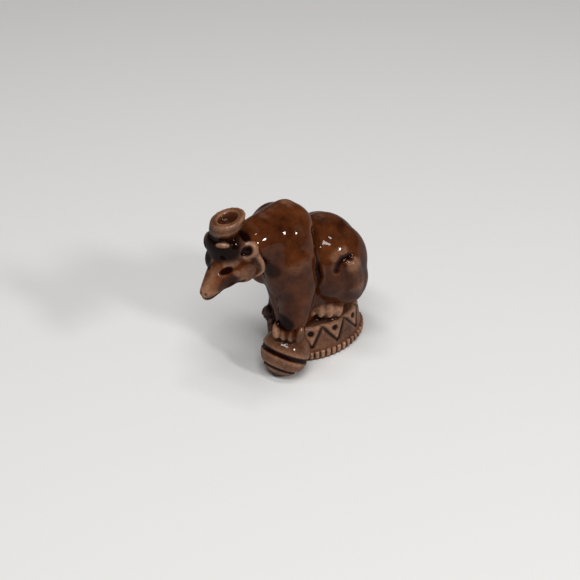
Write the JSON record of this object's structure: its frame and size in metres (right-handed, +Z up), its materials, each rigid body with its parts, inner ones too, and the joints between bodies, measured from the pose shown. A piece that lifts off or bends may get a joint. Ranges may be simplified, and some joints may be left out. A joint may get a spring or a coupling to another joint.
{
  "type": "bear figurine",
  "caption": "Miniature glazed porcelain circus bear in a small cupped hat, squatting on an oval tub with one forepaw on a striped ball.",
  "frame": {"origin": "middle of the oval tub's flat underside, at the height of the surface it stands on", "axes": "+Z up, -Y the way the bear faces, +X towards the bear's left and the ball's side"},
  "size_m": [0.0136, 0.03, 0.0295],
  "materials": {
    "brown_glaze": "glossy red-brown glaze, thin and tan on the raised edges, pooled dark in the grooves"
  },
  "bodies": {
    "root": {"bear_figurine": "brown_glaze"}
  },
  "joints": []
}
